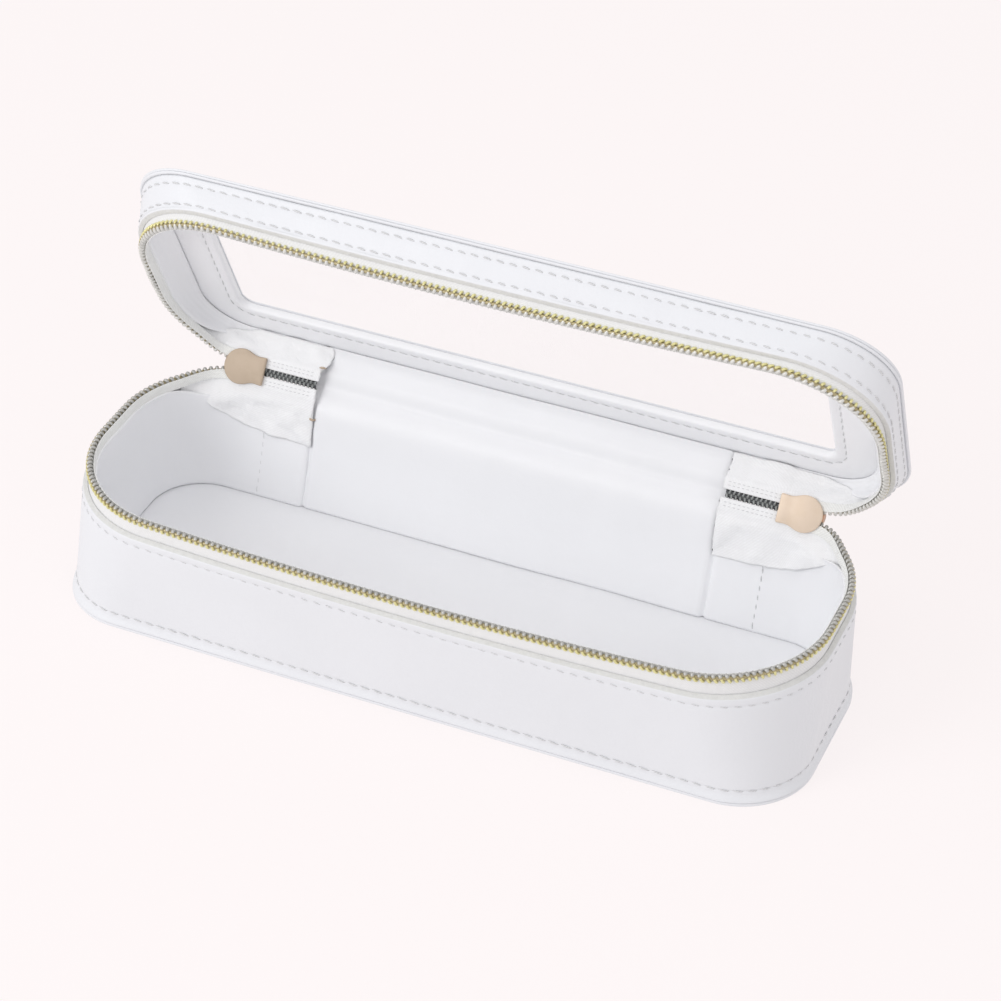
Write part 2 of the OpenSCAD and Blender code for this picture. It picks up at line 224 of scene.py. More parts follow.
def closed_lid_at(st, out, h):
    return wall_at(st, LID_RIM, LID_TOP, h / LID_H, out, HINGE_Z + h)


def opened(points, shift=LID_SHIFT):
    """Places points of the closed lid where the open lid has them."""
    y, z = points[..., 1] - HINGE_Y, points[..., 2] - HINGE_Z
    c, s = math.cos(LID_OPEN), math.sin(LID_OPEN)
    return stacked(points[..., 0] + shift, HINGE_Y + y * c + z * s, HINGE_Z - y * s + z * c)


def lid_at(st, out, h):
    """Points of the open lid's wall, out from its middle line, h above the zip line."""
    return opened(closed_lid_at(st, out, h))


def centred(points, x):
    """Takes the lid's sideways shift out of its lining and tape beside the hinge panel."""
    keep = smooth((np.abs(x) - 62.0) / 18.0)
    return points - stacked(LID_SHIFT * (1 - keep), 0, 0)


def chain_at(x, n, m):
    """Points in the closed coil's frame: x along it, n outward from the case, m toward the lid."""
    c, s = math.cos(TILT), math.sin(TILT)
    return stacked(x, HINGE_Y + n * c + m * s, HINGE_Z - n * s + m * c)


def settled(level):
    """0 near the zip's free edge, rising to 1 where the zip lies in its wall."""
    return smooth((level - 3.4) / 5.1)


def near_slider(st, start=84.0, end=98.0):
    """1 where the zip's edge lies in the sliders' line, falling to 0 round the corners."""
    x, y = rect_at(st, BASE_RIM, 0.0)
    return np.where(y > RIM_SHIFT, 1 - smooth((np.abs(x) - start) / (end - start)), 0.0)


def zip_at(st, out, level, row):
    """Points of the zip, level from its free edge. row is -1 on the base and 1 on the lid.
    Near a slider the edges leave their walls and lie in the slider's own plane."""
    wall = base_at(st, out, HINGE_Z - level) if row < 0 else lid_at(st, out, level)
    x, _ = rect_at(st, BASE_RIM, 0.0)
    parted = PARTED * smooth((np.abs(x) - 78.0) / 8.0)
    line = chain_at(x, out, row * (level + parted))
    share = near_slider(st) * (1 - settled(level))
    return wall + share[..., None] * (line - wall)


# ---- Mesh helpers ----

def ripple(points, wavelength, seed, waves=5):
    """A soft, repeatable unevenness between about -1 and 1, the same for the same points."""
    rng = np.random.default_rng(seed)
    total = np.zeros(points.shape[:-1])
    for _ in range(waves):
        direction = rng.normal(size=3)
        direction /= np.linalg.norm(direction)
        length = wavelength * rng.uniform(0.7, 1.4)
        total += np.sin(points @ direction * (2 * math.pi / length) + rng.uniform(0, 6.28))
    return total / waves ** 0.5 / 1.4


def lengths(points):
    """Distance along a row of points, starting at 0."""
    steps = np.linalg.norm(np.diff(points, axis=0), axis=1)
    return np.concatenate([[0.0], np.cumsum(steps)])


def unit(rows):
    return rows / np.linalg.norm(rows, axis=-1, keepdims=True)


def added(name, data):
    """A new object in the scene."""
    made = bpy.data.objects.new(name, data)
    bpy.context.scene.collection.objects.link(made)
    return made


class Shell:
    """Gathers points, faces, material numbers and fabric coordinates of one piece."""

    def __init__(self):
        self.points, self.faces, self.marks, self.uvs, self.count = [], [], [], [], 0

    def loft(self, rings, along=False, round_=True, mark=0, fabric=None):
        """Joins rings of points. along closes each ring, round_ joins the last ring to the first, and
        a loft closed one way only gets end faces. mark numbers materials, spread over the faces.
        fabric gives the fabric coordinates along and across the rings, if not their lengths."""
        rings = np.asarray(rings, float)
        k, n = rings.shape[:2]
        wide = np.concatenate([rings, rings[:1]]) if round_ else rings
        wide = np.concatenate([wide, wide[:, :1]], axis=1) if along else wide
        u, v = fabric or (lengths(wide[0]), lengths(wide[:, wide.shape[1] // 2]))
        shape = len(wide) - 1, wide.shape[1] - 1
        marks = np.broadcast_to(mark, shape).tolist()
        grid = self.count + np.arange(k * n).reshape(k, n)
        number = grid.tolist()
        for a, b in np.ndindex(shape):
            low, high, c, d = number[a], number[(a + 1) % k], (b + 1) % n, b + 1
            self.faces.append([low[b], low[c], high[c], high[b]])
            self.uvs.append([(u[b], v[a]), (u[d], v[a]), (u[d], v[a + 1]), (u[b], v[a + 1])])
            self.marks.append(marks[a][b])
        if along != round_:
            for end in (grid[0], grid[-1, ::-1]) if along else (grid[:, 0], grid[::-1, -1]):
                self.faces.append(end.tolist())
                self.uvs.append([(0.0, 0.0)] * len(end))
                self.marks.append(marks[0][0])
        self.points.append(rings.reshape(-1, 3))
        self.count += k * n

    def tube(self, path, side, radius, mark=0, sides=8):
        """A round wire along path. side is a direction across it. radius and mark may vary along it."""
        run = unit(np.gradient(path, axis=0))
        first = unit(np.cross(run, side))
        second = np.cross(run, first)
        radius = np.broadcast_to(radius, len(path))[:, None]
        turns = np.arange(sides + 1) * 2 * math.pi / sides
        rings = [path + radius * (first * math.cos(a) + second * math.sin(a)) for a in turns[:-1]]
        mark = np.broadcast_to(mark, len(path))[:-1]
        self.loft(rings, mark=mark, fabric=(lengths(path), turns * radius.max()))

    def make(self, name, *materials):
        """The piece as an object, in metres, smooth shaded."""
        mesh = bpy.data.meshes.new(name)
        mesh.from_pydata(np.concatenate(self.points) / 1000, [], self.faces)
        for material in materials:
            mesh.materials.append(material)
        mesh.polygons.foreach_set("material_index", self.marks)
        mesh.polygons.foreach_set("use_smooth", [True] * len(self.faces))
        layer = mesh.uv_layers.new(name="Fabric")
        layer.data.foreach_set("uv", [c for face in self.uvs for uv in face for c in uv])
        tidy = bmesh.new()
        tidy.from_mesh(mesh)
        bmesh.ops.recalc_face_normals(tidy, faces=tidy.faces)
        tidy.to_mesh(mesh)
        tidy.free()
        return added(name, mesh)


def lofted(name, rings, *materials, **how):
    """A piece made of one loft."""
    shell = Shell()
    shell.loft(rings, **how)
    return shell.make(name, *materials)


def rounded(corners, radius, steps=4):
    """An open line through corners, each inner corner rounded by its radius."""
    corners = np.asarray(corners, float)
    radii = np.broadcast_to(radius, len(corners))
    line = [corners[0]]
    for before, here, after, r in zip(corners, corners[1:], corners[2:], radii[1:]):
        a, b = before - here, after - here
        cut = min(r, 0.49 * np.linalg.norm(a), 0.49 * np.linalg.norm(b))
        start, end = here + unit(a) * cut, here + unit(b) * cut
        for t in np.linspace(0, 1, steps + 1):
            line.append((1 - t) ** 2 * start + 2 * t * (1 - t) * here + t ** 2 * end)
    line.append(corners[-1])
    return np.array(line)


class Track:
    """A line on a wall, measured by length: where it runs, and which way are along, out and up."""

    def __init__(self, point_at, closed=False):
        """point_at(out, up) gives the line's points, moved so far out and up."""
        nudge = 0.2
        here = point_at(0.0, 0.0)
        out = point_at(nudge, 0.0) - point_at(-nudge, 0.0)
        up = point_at(0.0, nudge) - point_at(0.0, -nudge)
        rows = [here, out, up]
        if closed:
            rows = [np.concatenate([row, row[:1]]) for row in rows]
        self.here, self.out, self.up = rows
        self.s = lengths(self.here)
        self.total = self.s[-1]
        self.run = np.gradient(self.here, self.s, axis=0)
        if closed:
            self.run[0] = self.run[-1] = self.run[0] + self.run[-1]

    def at(self, s):
        """(point, along, out, up) at lengths s, the last three of length 1."""
        here, *ways = (
            np.stack([np.interp(s, self.s, rows[:, k]) for k in range(3)], axis=-1)
            for rows in (self.here, self.run, self.out, self.up)
        )
        return [here, *(unit(way) for way in ways)]


def tie(piece, slot, *nodes, body=None, fill=None):
    """Says which body a piece rides on and which solids it replaces. Its slot and its padding are not
    used.
    """
    if body:
        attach(piece, body)
    if nodes:
        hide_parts(*nodes)


# ---- Materials ----

class Finish:
    """A Principled material and short ways to add the nodes that give it detail."""

    def __init__(self, name, colour, roughness, metallic=0.0, specular=0.5):
        self.material = bpy.data.materials.new(name)
        self.material.use_nodes = True
        self.tree = self.material.node_tree
        self.shader = self.tree.nodes["Principled BSDF"]
        self.colour = colour
        self.shader.inputs["Base Color"].default_value = (*colour, 1)
        self.shader.inputs["Roughness"].default_value = roughness
        self.shader.inputs["Metallic"].default_value = metallic
        self.shader.inputs["Specular IOR Level"].default_value = specular

    def node(self, kind, **values):
        made = self.tree.nodes.new(kind)
        for key, value in values.items():
            if key in made.inputs:
                made.inputs[key].default_value = value
            else:
                setattr(made, key.lower(), value)
        return made

    def link(self, source, target):
        self.tree.links.new(source, target)

    def texture(self, kind, output, **values):
        """A texture laid out in the frame's millimetres."""
        scale = self.node("ShaderNodeMapping", Scale=(1000, 1000, 1000))
        self.link(self.node("ShaderNodeTexCoord").outputs["Object"], scale.inputs["Vector"])
        made = self.node(kind, **values)
        self.link(scale.outputs["Vector"], made.inputs["Vector"])
        return made.outputs[output]

    def noise(self, size, detail=2.0, rough=0.5):
        """Cloudy noise, with clouds of about size millimetres."""
        return self.texture("ShaderNodeTexNoise", "Fac", Scale=1 / size, Detail=detail, Roughness=rough)

    def cells(self, size, feature="F1"):
        """Rounded cells of about size millimetres."""
        return self.texture("ShaderNodeTexVoronoi", "Distance", Scale=1 / size, Feature=feature)

    def threads(self, size, direction, distortion):
        """Waves size millimetres wide, laid out along and across the fabric."""
        made = self.node("ShaderNodeTexWave", Scale=0.314 / size, Distortion=distortion,
                         Bands_Direction=direction)
        fabric = self.node("ShaderNodeUVMap", uv_map="Fabric").outputs["UV"]
        self.link(fabric, made.inputs["Vector"])
        return made.outputs["Fac"]

    def maths(self, operation, a, b):
        made = self.node("ShaderNodeMath", operation=operation)
        for socket, value in zip(made.inputs, (a, b)):
            if hasattr(value, "is_linked"):
                self.link(value, socket)
            else:
                socket.default_value = value
        return made.outputs["Value"]

    def ramp(self, source, low, high, from_low=0.0, from_high=1.0):
        made = self.node("ShaderNodeMapRange")
        for key, value in zip(("From Min", "From Max", "To Min", "To Max"),
                              (from_low, from_high, low, high)):
            made.inputs[key].default_value = value
        self.link(source, made.inputs["Value"])
        return made.outputs["Result"]

    def tint(self, source, colour, low=0.0, high=1.0):
        """Blends the colour so far toward another where source is high."""
        mix = self.node("ShaderNodeMix", data_type="RGBA")
        self.link(self.ramp(source, 0.0, 1.0, low, high), mix.inputs["Factor"])
        target = self.shader.inputs["Base Color"]
        if target.is_linked:
            self.link(target.links[0].from_socket, mix.inputs["A"])
        else:
            mix.inputs["A"].default_value = (*self.colour, 1)
        mix.inputs["B"].default_value = (*colour, 1)
        self.link(mix.outputs["Result"], target)

    def bump(self, source, depth):
        """Raises the surface where source is high, by depth millimetres."""
        made = self.node("ShaderNodeBump", Strength=1.0, Distance=depth / 1000)
        self.link(source, made.inputs["Height"])
        target = self.shader.inputs["Normal"]
        if target.is_linked:
            self.link(target.links[0].from_socket, made.inputs["Normal"])
        self.link(made.outputs["Normal"], target)

    def rough(self, source, low, high):
        self.link(self.ramp(source, low, high), self.shader.inputs["Roughness"])


def leather_finish(name, colour, shade, grain, depth):
    """Smooth coated leather: small pebbles, fine pores and a slight unevenness of tone."""
    f = Finish(name, colour, 0.42, specular=0.4)
    f.tint(f.noise(38.0, 3.0), shade, 0.35, 0.75)
    f.bump(f.noise(9.0, 2.0), 0.25)
    f.bump(f.cells(grain, "SMOOTH_F1"), depth)
    f.bump(f.noise(grain * 0.35, 3.0, 0.6), depth * 0.5)
    f.rough(f.noise(14.0, 3.0), 0.36, 0.52)
    return f.material


def matt_finish(name, colour, shade, roughness, specular, cloud, low, fuzz=None, depth=0.0):
    """A dull material, shaded where a cloud noise is above low, with a fuzz noise raised by depth."""
    f = Finish(name, colour, roughness, specular=specular)
    f.tint(f.noise(*cloud), shade, low, 0.7)
    if fuzz:
        f.bump(f.noise(*fuzz), depth)
    return f.material


def tape_finish(name, colour, shade, strong):
    """Woven polyester tape: a herringbone of fine threads with selvedge ribs along it."""
    f = Finish(name, colour, 0.75, specular=0.25)
    f.shader.inputs["Sheen Weight"].default_value = 0.25
    twill = f.threads(0.42, "DIAGONAL", 1.5)
    rib = f.threads(0.8, "Y", 1.0)
    weave = f.maths("MULTIPLY", twill, f.ramp(rib, 0.55, 1.0))
    # Painted shade in the weave's low grooves, where the bump below sinks
    f.tint(weave, shade, 0.9, 0.1)
    f.tint(f.noise(5.0, 3.0), shade, 0.5, 0.85)
    f.bump(f.noise(2.4, 3.0, 0.6), 0.35)
    f.bump(weave, strong)
    f.bump(f.noise(0.5, 3.0, 0.7), strong * 0.5)
    return f.material


def metal_finish(name, colour, shade, roughness, metallic, wear):
    """Cast and lacquered zip metal, a little uneven, and brighter or duller in patches."""
    f = Finish(name, colour, roughness, metallic)
    f.tint(f.noise(3.2, 4.0, 0.6), shade, 0.45, 0.8)
    f.rough(f.noise(1.6, 4.0, 0.6), roughness * 0.8, roughness * 1.3)
    f.bump(f.noise(0.7, 3.0), wear)
    return f.material


def thread_finish():
    """Twisted white polyester thread, painted grey as shade where it lies sunk in the leather, with
    painted shade in the grooves of its twist.
    """
    f = Finish("thread_white", (0.68, 0.69, 0.70), 0.5, specular=0.4)
    f.shader.inputs["Sheen Weight"].default_value = 0.2
    ply = f.threads(0.42, "DIAGONAL", 0.3)
    # Painted shade in the grooves between the plies
    f.tint(ply, (0.58, 0.59, 0.60), 0.75, 0.15)
    f.bump(ply, 0.06)
    return f.material


def foam_finish():
    """Thin polyurethane foam, with painted shade in its pits."""
    f = Finish("foam", (0.72, 0.68, 0.5), 0.95, specular=0.1)
    f.tint(f.cells(0.9), (0.6, 0.56, 0.4), 0.5, 0.1)
    f.bump(f.cells(0.9), 0.2)
    return f.material


def window_finish():
    """Clear sheet with the faint haze of its handling."""
    f = Finish("clear_sheet", (0.97, 0.98, 1.0), 0.04, specular=0.5)
    f.rough(f.noise(30.0, 4.0, 0.6), 0.02, 0.09)
    f.shader.inputs["Alpha"].default_value = 0.07
    return f.material


# The lining is set lighter than the outer leather: partly its own whiter tone, partly painted light
# inside the case and painted shade outside
LEATHER = leather_finish("white_leather", (0.745, 0.765, 0.795), (0.725, 0.745, 0.775), 0.75, 0.035)
LINING = leather_finish("white_lining", (0.865, 0.875, 0.895), (0.845, 0.855, 0.875), 0.9, 0.018)
# The turned edge's colour: the leather's own duller edge, darkened further as painted shade where the
# coil overhangs it
SHADED_EDGE = matt_finish("leather_edge_painted_shade", (0.715, 0.725, 0.72), (0.645, 0.655, 0.65), 0.8, 0.2,
                   (1.4, 4.0, 0.7), 0.35, (0.5, 4.0, 0.7), 0.12)
TAPE = tape_finish("zip_tape_white", (0.90, 0.91, 0.92), (0.86, 0.867, 0.875), 0.014)
# A darker copy of the same white tape, as painted shade where it lies between coil and leather
TAPE_RIM_SHADED = tape_finish("zip_tape_rim_painted_shade", (0.80, 0.81, 0.815), (0.75, 0.76, 0.765), 0.02)
# The grey cord is given a near-white colour as painted light, to offset the shade it sits in
CORD_LIT = tape_finish("zip_cord_painted_light", (0.88, 0.89, 0.87), (0.79, 0.80, 0.78), 0.03)
GOLD = metal_finish("coil_gold", (0.76, 0.72, 0.36), (0.66, 0.61, 0.27), 0.3, 0.3, 0.01)
# Darker gold as painted shade, where the loops turn away and in the gaps between them
GOLD_SHADED = metal_finish("coil_gold_painted_shade", (0.44, 0.38, 0.22), (0.34, 0.29, 0.16), 0.32, 0.4, 0.01)
# The coil's bare inner side on the lid, lighter than the base's copy as painted light, since its loops
# face down into shade
INNER_LIT = metal_finish("coil_inner_painted_light", (0.68, 0.68, 0.65), (0.54, 0.54, 0.52), 0.3, 0.2, 0.01)
# Near-black cords as painted shadow in the gaps of the closed coil
CORE_SHADOW = metal_finish("coil_core_painted_shadow", (0.10, 0.105, 0.11), (0.06, 0.06, 0.065), 0.4, 0.4, 0.01)
# The same bare inner side on the base, a darker copy as painted shade in the gaps seen from above
INNER_SHADED = metal_finish("coil_inner_painted_shade", (0.50, 0.50, 0.475), (0.36, 0.36, 0.345), 0.3, 0.3, 0.01)
# A darker copy of the coil's bare metal, as painted shade on the closed coil
CHAIN_SHADED = metal_finish("coil_chain_painted_shade", (0.31, 0.325, 0.32), (0.21, 0.22, 0.215), 0.3, 0.3, 0.01)
TAN = metal_finish("slider_tan", (0.505, 0.405, 0.305), (0.48, 0.385, 0.285), 0.5, 0.1, 0.006)
ROSE = metal_finish("slider_rose", (0.755, 0.62, 0.49), (0.725, 0.585, 0.445), 0.4, 0.15, 0.006)
COPPER = metal_finish("slider_copper", (0.50, 0.27, 0.15), (0.3, 0.14, 0.07), 0.3, 0.8, 0.01)
# White thread painted grey, as shade where it lies sunk in the leather
THREAD_SHADED = thread_finish()
# Grey rims at each stitch's ends, painted shadow where the leather is drawn in
HOLE_SHADOW = matt_finish("needle_hole_painted_shadow", (0.60, 0.605, 0.62), (0.50, 0.505, 0.515), 0.9, 0.1, (0.8, 2.0), 0.4)
BOARD = matt_finish("grey_board", (0.36, 0.345, 0.32), (0.27, 0.255, 0.235), 0.9, 0.2,
                    (2.0, 5.0, 0.7), 0.4, (0.8, 4.0, 0.7), 0.08)
FOAM = foam_finish()
CLEAR = window_finish()


def finish_node(node, material):
    data = frame["nodes"][node].data
    data.materials.clear()
    data.materials.append(material)


# ---- Base ----

def groove(levels, at, depth=0.12, width=1.0):
    """How far a wall is drawn in along a seam at one level."""
    return depth * np.exp(-((np.asarray(levels) - at) / (width / 2)) ** 2)


def make_base_skin():
    """Leather round the base's wall, turned in over its upper edge."""
    st = whole_outline()
    levels = np.concatenate([
        np.linspace(3.3, 5.1, 7), np.linspace(6.5, 28.4, 12), np.linspace(29.0, 31.0, 7)
    ])
    drawn = groove(levels, RIM_SEAM_Z) + groove(levels, FOOT_SEAM_Z, 0.15, 0.8)
    outer = np.stack([SKIN_OUT - drawn, levels], axis=-1)
    foot = rounded([(0.9, 1.0), (2.38, 1.0), (2.38, 1.45), (1.72, 2.5), (SKIN_OUT, 3.2)],
                   [0, 0.2, 0.3, 0.6, 0], 3)
    top = rounded([(SKIN_OUT, 31.3), (SKIN_OUT, 32.1), (0.16, 32.9), (0.1, 32.4), (0.6, 31.4)],
                  [0, 0.3, 0.15, 0.2, 0], 4)
    inner = [(SKIN_IN, 31.0), (SKIN_IN, 16.0), (SKIN_IN, 1.2)]
    profile = [*foot[1:], *outer, *top, *inner]
    # Faces of the turned top take the darker edge colour, partly painted shade below the coil
    edge = [[int(out < EDGE_OUT and level > EDGE_Z)] for out, level in profile]
    rings = []
    for out, level in profile:
        puff = 0.12 * ripple(base_at(st, out, level), 34.0, 3) if out > 1.4 else 0.0
        rings.append(base_at(st, out + puff, level))
    skin = lofted("base_skin", rings, LEATHER, SHADED_EDGE, along=True, mark=edge)
    tie(skin, "outer_leather", "base_wall_leather", body="base")


def make_sole():
    """Bottom leather, whose rounded rim makes the lower half of the flange."""
    st = whole_outline()
    rim = rounded([(1.6, 0.92), (2.4, 0.92), (2.4, 0.0), (1.4, 0.0)], 0.3, 4)
    rings = [base_at(st, out, z) for out, z in rim]
    top, bottom = rings[0], rings[-1]
    rings = [*[lerp(top, top.mean(axis=0), t) for t in (0.5, 0.2)], *rings,
             *[lerp(bottom, bottom.mean(axis=0), t) for t in (0.2, 0.5)]]
    sole = lofted("sole", rings, LEATHER, along=True, round_=False)
    tie(sole, "outer_leather", "bottom_leather", body="base")


def make_floor():
    """Floor lining over foam, a little crowned, with its rim tucked under the wall's lining."""
    st = whole_outline()
    rim = base_at(st, -3.6, FLOOR_Z)
    shares = np.concatenate([np.linspace(0.12, 0.9, 14), [0.93, 0.955, 0.975, 0.99, 1.0]])
    rings = []
    for t in shares:
        ring = rim * [t, t, 0]
        edge = np.linalg.norm(ring[:, :2] - rim[:, :2], axis=1)
        crown = 0.35 * smooth((edge - 1.6) / 12.0)
        tuck = 0.04 * (1 - smooth((edge - 0.7) / 1.6))
        ring[:, 2] = FLOOR_Z - 0.07 + crown - tuck + 0.09 * ripple(ring, 42.0, 8)
        rings.append(ring)
    under = [ring * [1, 1, 0] + [0, 0, FLOOR_UNDER] for ring in rings[::-1]]
    floor = lofted("floor_lining", [*rings, *under], LINING, along=True, round_=False)
    tie(floor, "lining", "bottom_lining", body="base", fill=0.3)


def lining_face(z):
    """How far in the wall's lining stands at height z: padded, and thickest above the floor."""
    return np.interp(z, [4.7, 5.2, 6.5, 10.0, 14.0, 20.0, 27.0, 40.0],
                     [-4.6, -4.95, -4.8, -4.1, -3.35, -2.65, -2.3, LINING_IN])


BESIDE_PANEL = -1.45  # how far out a lining's edge lies beside the hinge panel
# Round a lining's upper edge, from its inner face over to its back: (out, level)
ROLL = ((-0.5, -0.12), (-0.38, -0.02), (-0.1, 0.05), (0.2, 0.0), (0.38, -0.2), (0.42, -0.5))


def make_wall_lining():
    """Padded lining from one edge of the hinge panel round the front to the other."""
    st = panel_to_panel()
    lowered = near_slider(st, 90.0, 101.0)
    top = HINGE_Z - 3.3 - 3.6 * lowered
    eased = edge_round(st)
    inner = []
    for t in np.concatenate([[0, 0.012, 0.03], np.linspace(0.06, 1, 22)]):
        z = lerp(4.75, top - 0.45, t)
        face = lining_face(z)
        plain = base_at(st, face, z)
        puff = 0.16 * ripple(plain, 26.0, 21) * smooth((z - 5.5) / 4)
        inner.append(base_at(st, lerp(np.minimum(face + 0.8, BESIDE_PANEL), face + puff, eased), z))
    fold = [base_at(st, lerp(BESIDE_PANEL, lining_face(top) + 0.5 + a, eased), top + b)
            for a, b in ROLL]
    back = [base_at(st, LINING_OUT, z) for z in (top - 1.5, 16.0, 4.75)]
    lining = lofted("wall_lining", [*inner, *fold, *back], LINING)
    tie(lining, "lining", "base_wall_lining", body="base", fill=0.35)


def make_tape(name, row):
    """Woven tape between the coil and the walls, from slider to slider round the front."""
    st = open_outline(TAPE_FROM)
    levels = np.linspace(2.0, 7.4 if row < 0 else 6.6, 9)
    rings = [zip_at(st, 0.05, level, row) for level in levels]
    rings += [zip_at(st, -0.45, level, row) for level in levels[::-1]]
    # The tape along the rim takes the darker copy: painted shade on the white tape
    tape = lofted(f"{name}_tape", rings, TAPE_RIM_SHADED)
    hinge_blend(tape)
    tie(tape, "zip_tape", f"{name}_zip_tape")


def hinge_blend(piece):
    """Bakes a soft piece's placing into its mesh."""
    start, end = chain_at(0.0, 0.0, np.array([-8.0, 8.0])) / 1000
    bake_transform(piece)


def make_cord(name, row):
    """Grey woven band that holds the coil on the inside, coloured near white as painted light where it
    sits in shade.
    """
    st = open_outline(CORD_FROM)
    outline = rounded([(-1.02, 0.9), (-1.25, 0.9), (-1.7, 3.5), (-1.02, 3.5)], 0.08, 2)
    cord = lofted(f"{name}_cord", [zip_at(st, out, level, row) for out, level in outline], CORD_LIT)
    hinge_blend(cord)
    tie(cord, "zip_tape")


def coil_loops(track, pitch, reach, head, wire, phase=0.0, gold_end=8):
    """One row of coil as a single wire. reach is half its thickness, head half its height. Degrees
    count round a loop from its outermost point: -110 to gold_end is marked 0, 20 more 1, the rest 2."""
    count = int(round(track.total / pitch))
    turn = np.linspace(0, 2 * math.pi * count, 16 * count + 1)
    here, run, out, up = track.at(track.total * turn / turn[-1])
    a = turn + phase
    squared = np.abs(np.cos(a)) ** 0.8 * np.sign(np.cos(a))
    path = here + (squared * reach)[:, None] * out + (np.sin(a) * head)[:, None] * up
    radius = wire * (1 + 0.55 * np.clip(np.sin(a), 0, 1) ** 2)
    past = (np.degrees(a) + 110) % 360 - 110
    # Mark 1, between the gold and the bare side, takes the darker gold as painted shade
    mark = np.where(past < gold_end, 0, np.where(past < gold_end + 20, 1, 2))
    return path, run, radius, mark


def make_coil(name, row):
    """Row of coil round a filling cord: golden outside, bare inside. A darker gold between these and on
    the cord is painted shade, and the bare inside is painted darker on the base as shade and lighter on
    the lid as light.
    """
    st = open_outline(COIL_FROM, arc=40, front=120)
    track = Track(lambda out, up: zip_at(st, out, COIL_LEVEL - up, row))
    shell = Shell()
    shell.tube(*coil_loops(track, COIL_PITCH, 0.62, 0.9, COIL_WIRE, gold_end=8 if row < 0 else -16))
    here, _, out, up = track.at(np.linspace(0.3, track.total - 0.3, 300))
    # The cord shows in the gaps between loops and takes the darker gold, as painted shade there
    shell.tube(here + 0.1 * up, out, CORE_RADIUS, mark=1)
    # The base's row takes the shaded copy of the bare metal, the lid's row the lit copy
    coil = shell.make(f"{name}_coil", GOLD, GOLD_SHADED, INNER_SHADED if row < 0 else INNER_LIT)
    hinge_blend(coil)
    tie(coil, "zip_coil", f"{name}_zip_coil")


# ---- Stitches ----

def add_stitch(shell, here, run, out, up, length, slant=0.18, thick=0.22, sunk=0.1, marks=(0, 1)):
    """One stitch centred on here, with its ends sunk in two needle holes, each ringed in grey as painted
    shadow.
    """
    t = np.linspace(-1, 1, 9)
    lift = np.sqrt(np.clip(1 - t ** 2, 0, 1)) * (thick * 0.75 + sunk) - sunk
    path = here + np.outer(t * length / 2, run) + np.outer(t * slant, up) + np.outer(lift, out)
    radius = thick * (0.55 + 0.45 * np.sqrt(np.clip(1 - t ** 4, 0, 1)))
    shell.tube(path, np.broadcast_to(up, path.shape), radius, marks[0], 7)
    a = np.arange(8) * math.pi / 4
    # Grey rim round each end of the stitch, painted shadow round the needle holes
    hole_shadow = thick * (0.9 * np.outer(np.cos(a), run) + 0.75 * np.outer(np.sin(a), up))
    for end in (-1, 1):
        centre = here + run * (end * (length / 2 + 0.4 * thick)) + up * (end * slant)
        rings = [centre + hole_shadow * 0.9 - out * 0.3, centre + hole_shadow, centre + hole_shadow * 0.6 + out * 0.03]
        shell.loft(rings, along=True, round_=False, mark=marks[1])


def make_stitches(name, point_at, body, *nodes, closed=True, length=2.35, pitch=STITCH_PITCH, **shape):
    """A row of stitches along a line on a wall."""
    track = Track(point_at, closed)
    count = int(round(track.total / pitch))
    shell = Shell()
    for here, run, out, up in zip(*track.at((np.arange(count) + 0.5) * track.total / count)):
        add_stitch(shell, here, run, out, up, length, **shape)
    tie(shell.make(name, THREAD_SHADED, HOLE_SHADOW), "thread", *nodes, body=body)


def make_lining_seam(side):
    """Upright seam in the lining beside the raw end of the tape."""
    z = np.linspace(23.0, 5.4, 40)
    y = lerp(FOOT.width / 2, HINGE_Y, z / HINGE_Z) + lining_face(z)
    x = side * (BASE_RIM.length / 2 - BASE_RIM.radius)
    make_stitches(f"lining_seam_{SIDE_NAMES[side]}", lambda out, up: stacked(x + up, y - out, z), "base",
                  closed=False, length=1.5, pitch=2.6, thick=0.17 if side > 0 else 0.09, slant=0.1)


def make_base_stitches():
    st = whole_outline(arc=30, side=8, front=60, back=30)
    sunk = SKIN_OUT - 0.2
    make_stitches("base_rim_stitches", lambda out, up: base_at(st, sunk + out, RIM_SEAM_Z + up),
                  "base", "base_rim_thread", length=2.0, thick=0.19)
    make_stitches("base_foot_stitches", lambda out, up: base_at(st, sunk + 0.05 + out, FOOT_SEAM_Z + up),
                  "base", "base_foot_thread")


# ---- Lid ----

def lid_edge(st, front, back):
    """A level of the lid that is higher at the back, where the sliders pass."""
    return lerp(front, back, near_slider(st, 88.0, 100.0))


